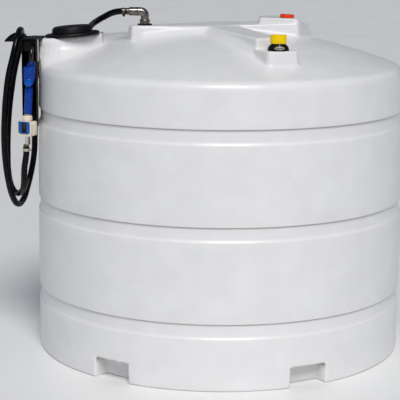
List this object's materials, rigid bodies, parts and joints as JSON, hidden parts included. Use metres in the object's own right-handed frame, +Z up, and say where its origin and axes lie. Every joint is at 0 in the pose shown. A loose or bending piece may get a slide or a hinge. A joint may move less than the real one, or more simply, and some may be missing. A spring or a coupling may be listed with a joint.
{
  "type": "diesel exhaust fluid tank",
  "caption": "Upright round plastic storage tank with raised roof forms, inspection lid, filling cap, vent cap, roof outlet and a hose that hangs on a side bracket with meter and nozzle.",
  "frame": {"origin": "centre of the tank's foot circle at ground level, on the tank's axis", "axes": "+Z up along the tank's axis, -Y towards the viewer of the picture, so that the hose and its bracket are at -X"},
  "size_m": [1.9682, 1.8, 1.6725],
  "materials": {
    "white_polyethylene": "natural white rotationally moulded polyethylene, faint satin sheen",
    "black_plastic": "black moulded plastic, matte",
    "black_painted_steel": "black powder coat on folded sheet steel",
    "stainless_steel": "stainless steel, lightly brushed",
    "blue_plastic": "deep blue moulded plastic, light gloss",
    "cream_plastic": "cream moulded plastic, matte",
    "blue_label_plastic": "blue face panel, light gloss",
    "black_glass": "dark display window",
    "brass": "turned brass",
    "black_rubber": "smooth black rubber hose",
    "yellow_plastic": "yellow moulded plastic cap with a ribbed rim",
    "orange_plastic": "orange-red moulded plastic cap"
  },
  "bodies": {
    "root": {"tank_wall": "white_polyethylene", "tank_floor": "white_polyethylene", "skirt_front": "white_polyethylene", "skirt_right": "white_polyethylene", "skirt_back": "white_polyethylene", "skirt_left": "white_polyethylene", "tank_roof": "white_polyethylene", "lid_flange": "black_plastic", "inspection_lid": "black_plastic", "outlet_washer": "black_plastic", "outlet_nut": "stainless_steel", "outlet_elbow": "stainless_steel", "hose_coupling": "stainless_steel", "hose_tail": "stainless_steel", "outlet_clamp": "stainless_steel", "delivery_hose": "black_rubber", "nozzle_bracket": "black_painted_steel", "hose_saddle": "black_painted_steel", "spout_holder": "black_painted_steel", "nozzle_spout": "black_plastic", "nozzle_collar": "blue_plastic", "nozzle_body": "blue_plastic", "nozzle_disc": "blue_plastic", "nozzle_grip": "blue_plastic", "nozzle_lever": "black_plastic", "nozzle_swivel": "stainless_steel", "meter_body": "cream_plastic", "meter_frame": "blue_label_plastic", "meter_display": "black_glass", "meter_collar": "cream_plastic", "meter_nipple": "stainless_steel", "meter_hose_tail": "brass", "meter_clamp": "stainless_steel", "filler_flange": "black_plastic", "filler_cap": "yellow_plastic", "padlock_body": "stainless_steel", "padlock_shackle": "stainless_steel", "vent_cap": "orange_plastic"}
  },
  "joints": []
}
